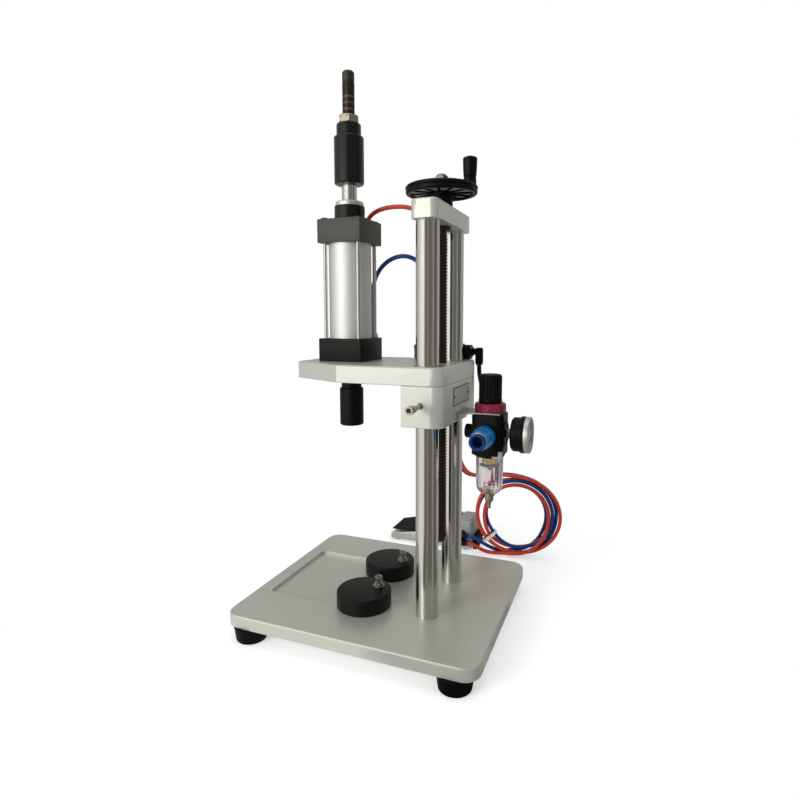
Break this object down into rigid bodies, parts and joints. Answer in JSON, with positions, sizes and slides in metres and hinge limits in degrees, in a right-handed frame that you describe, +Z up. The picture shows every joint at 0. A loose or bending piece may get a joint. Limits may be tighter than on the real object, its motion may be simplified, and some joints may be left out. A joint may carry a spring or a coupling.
{
  "type": "pneumatic cap press",
  "caption": "Bench press that pushes caps on bottles: an air cylinder on an arm that a handwheel and lead screw set in height on two columns, with regulator and foot pedal.",
  "frame": {"origin": "middle of the base plate's top face, where the bottle stands", "axes": "+Z up along the columns; -Y towards the operator, the press head's side; +X to the side of the clamp screw and air inlet"},
  "size_m": [0.441, 0.364, 0.719],
  "materials": {
    "satin_aluminium": "satin",
    "polished_steel": "polished",
    "screw_steel": "machined",
    "lead_steel": "oiled dark thread",
    "black_anodised": "satin",
    "black_plastic": "satin",
    "black_rubber": "matte",
    "tube_aluminium": "anodised",
    "bronze": "machined",
    "sintered_brass": "sintered",
    "label_sheet": "satin",
    "crimson_plastic": "gloss",
    "blue_plastic": "gloss",
    "dark_blue_plastic": "gloss",
    "clear_bowl": "clear",
    "red_hose": "gloss",
    "blue_hose": "gloss",
    "grey_casting": "satin",
    "white_plastic": "gloss",
    "needle_paint": "satin"
  },
  "bodies": {
    "frame": {"base_plate": "satin_aluminium", "rubber_feet": "black_rubber", "column_right": "polished_steel", "column_left": "polished_steel", "column_screws": "screw_steel", "top_plate": "satin_aluminium", "disc_bolts": "polished_steel", "pedal_tray": "screw_steel", "pedal_rubber": "black_rubber", "pedal_valve": "grey_casting", "pedal_fittings": "black_plastic", "hose_coil": "red_hose", "cable_tie": "white_plastic", "hose_red_feed": "red_hose", "hose_blue_feed": "blue_hose", "hose_red_pedal": "red_hose", "hose_blue_pedal": "blue_hose"},
    "lead": {"lead_screw": "lead_steel", "handwheel": "black_plastic", "dome_nut": "polished_steel", "handle_pin": "screw_steel"},
    "handle": {"handle_grip": "black_plastic"},
    "carriage": {"arm_plate": "satin_aluminium", "clamp_block": "satin_aluminium", "guide_bushes": "bronze", "lead_nut": "bronze", "label_plate": "label_sheet", "cylinder_cap_low": "black_anodised", "cylinder_cap_high": "black_anodised", "cylinder_tube": "tube_aluminium", "tie_rods": "polished_steel", "rod_boss": "black_anodised", "wiper_ring": "tube_aluminium", "cylinder_fittings": "black_plastic", "valve_body": "black_anodised", "valve_fittings": "black_plastic", "air_fittings": "black_plastic", "regulator_bracket": "screw_steel", "regulator_body": "black_plastic", "lock_ring": "crimson_plastic", "filter_bowl": "clear_bowl", "filter_element": "sintered_brass", "gauge_case": "black_plastic", "gauge_bezel": "polished_steel", "inlet_fitting": "blue_plastic", "hose_red_cylinder": "red_hose", "hose_blue_cylinder": "blue_hose", "hose_air": "black_plastic"},
    "ram": {"piston_rod": "polished_steel", "press_head": "black_plastic"},
    "stop": {"stop_sleeve": "black_anodised"},
    "lock": {"lock_nut": "screw_steel"},
    "clamp": {"clamp_screw": "screw_steel"},
    "knob": {"regulator_knob": "black_plastic"},
    "drain": {"drain_screw": "sintered_brass"},
    "needle": {"gauge_needle": "needle_paint"},
    "collet": {"inlet_collet": "dark_blue_plastic"},
    "disc_right": {"locator_disc_right": "black_anodised"},
    "disc_left": {"locator_disc_left": "black_anodised"},
    "pedal": {"pedal_pad": "black_rubber"}
  },
  "joints": [
    {"name": "handwheel_turn", "type": "hinge", "parent": "frame", "child": "lead", "pos_m": [0, 0.075, 0.502], "axis": [0, 0, 1], "range_deg": [-4501, 9001]},
    {"name": "handle_spin", "type": "hinge", "parent": "lead", "child": "handle", "pos_m": [-0.00608, 0.10947, 0.55], "axis": [0, 0, 1], "continuous": true},
    {"name": "carriage_lift", "type": "slide", "parent": "frame", "child": "carriage", "axis": [0, 0, 1], "range_m": [-0.1, 0.05]},
    {"name": "ram_stroke", "type": "slide", "parent": "carriage", "child": "ram", "axis": [0, 0, -1], "range_m": [0, 0.0216]},
    {"name": "stop_slide", "type": "slide", "parent": "ram", "child": "stop", "axis": [0, 0, 1], "range_m": [0, 0.03]},
    {"name": "lock_nut_turn", "type": "hinge", "parent": "stop", "child": "lock", "pos_m": [0, -0.053, 0.623], "axis": [0, 0, 1], "range_deg": [0, 7201]},
    {"name": "clamp_turn", "type": "hinge", "parent": "carriage", "child": "clamp", "pos_m": [0.09, 0.075, 0.265], "axis": [1, 0, 0], "range_deg": [0, 360]},
    {"name": "regulator_turn", "type": "hinge", "parent": "carriage", "child": "knob", "pos_m": [0, 0.14, 0.28], "axis": [0, 0, 1], "range_deg": [-540, 540]},
    {"name": "drain_turn", "type": "hinge", "parent": "carriage", "child": "drain", "pos_m": [0, 0.14, 0.14], "axis": [0, 0, 1], "range_deg": [0, 180]},
    {"name": "needle_swing", "type": "hinge", "parent": "carriage", "child": "needle", "pos_m": [0, 0.1835, 0.225], "axis": [0, 1, 0], "range_deg": [-135, 135], "stiffness_Nm_per_rad": 0.0005},
    {"name": "collet_press", "type": "slide", "parent": "carriage", "child": "collet", "axis": [-1, 0, 0], "range_m": [0, 0.002], "stiffness_N_per_m": 400, "springref_m": -0.002},
    {"name": "disc_right_turn", "type": "hinge", "parent": "frame", "child": "disc_right", "pos_m": [0.041, 0.005, 0], "axis": [0, 0, 1], "range_deg": [-34, 36]},
    {"name": "disc_left_turn", "type": "hinge", "parent": "frame", "child": "disc_left", "pos_m": [-0.041, 0.005, 0], "axis": [0, 0, 1], "range_deg": [-31, 29]},
    {"name": "pedal_press", "type": "hinge", "parent": "frame", "child": "pedal", "pos_m": [-0.262, 0.016, 0.001], "axis": [1, 0, 0], "range_deg": [0, 3.5], "stiffness_Nm_per_rad": 2, "springref_deg": -14.32}
  ],
  "couplings": [
    {"joint": "handwheel_turn", "follows": "carriage_lift", "rad_per_m": -1570.8},
    {"joint": "lock_nut_turn", "follows": "stop_slide", "rad_per_m": 4188.8}
  ]
}
